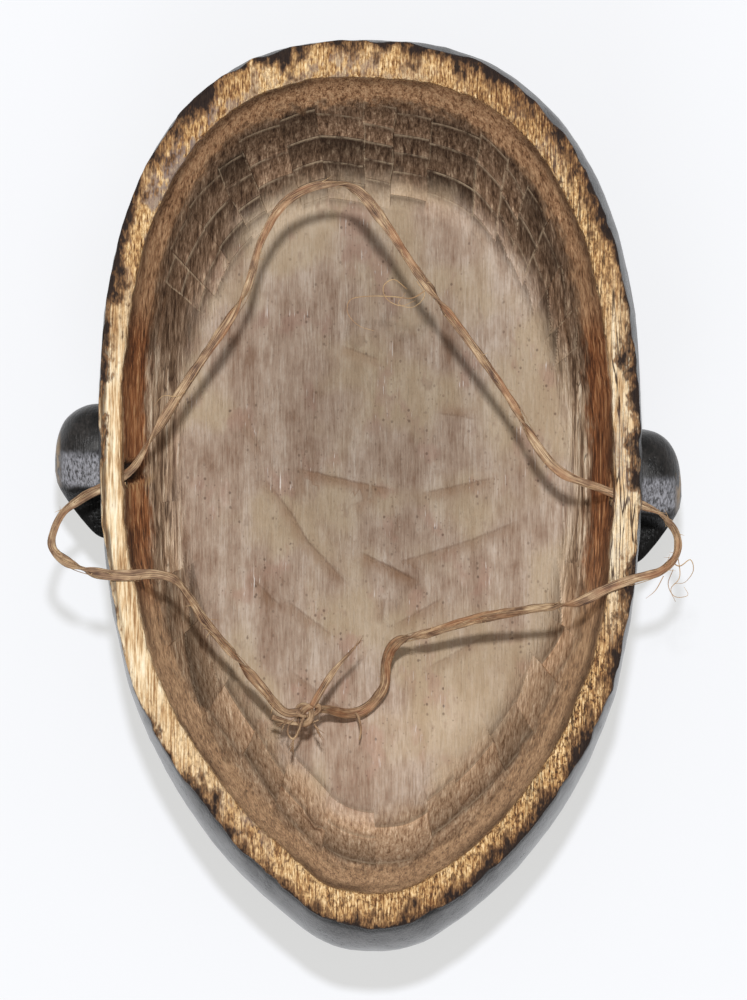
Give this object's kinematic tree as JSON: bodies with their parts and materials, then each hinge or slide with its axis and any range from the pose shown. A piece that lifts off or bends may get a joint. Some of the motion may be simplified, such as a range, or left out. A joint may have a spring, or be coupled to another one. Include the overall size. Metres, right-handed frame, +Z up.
{
  "type": "carved monkey mask",
  "caption": "Hollow carved wooden monkey face mask lying face down, with side ears and a knotted bast cord through two side holes.",
  "frame": {"origin": "under the middle of the mask's own box, cord left out, on the surface that the mask lies on face down", "axes": "+Y from chin to crown, +X to the right as seen from the hollow side, +Z up out of the hollow"},
  "size_m": [0.1977, 0.284, 0.0985],
  "materials": {
    "carved_wood": "hand-carved wood: dark semi-gloss patina outside, bare pale rim, matt taupe hollow",
    "bast": "matt dry twisted bast fibre"
  },
  "bodies": {
    "root": {"mask": "carved_wood", "cord": "bast", "cord_knot": "bast", "cord_tail": "bast"}
  },
  "joints": []
}
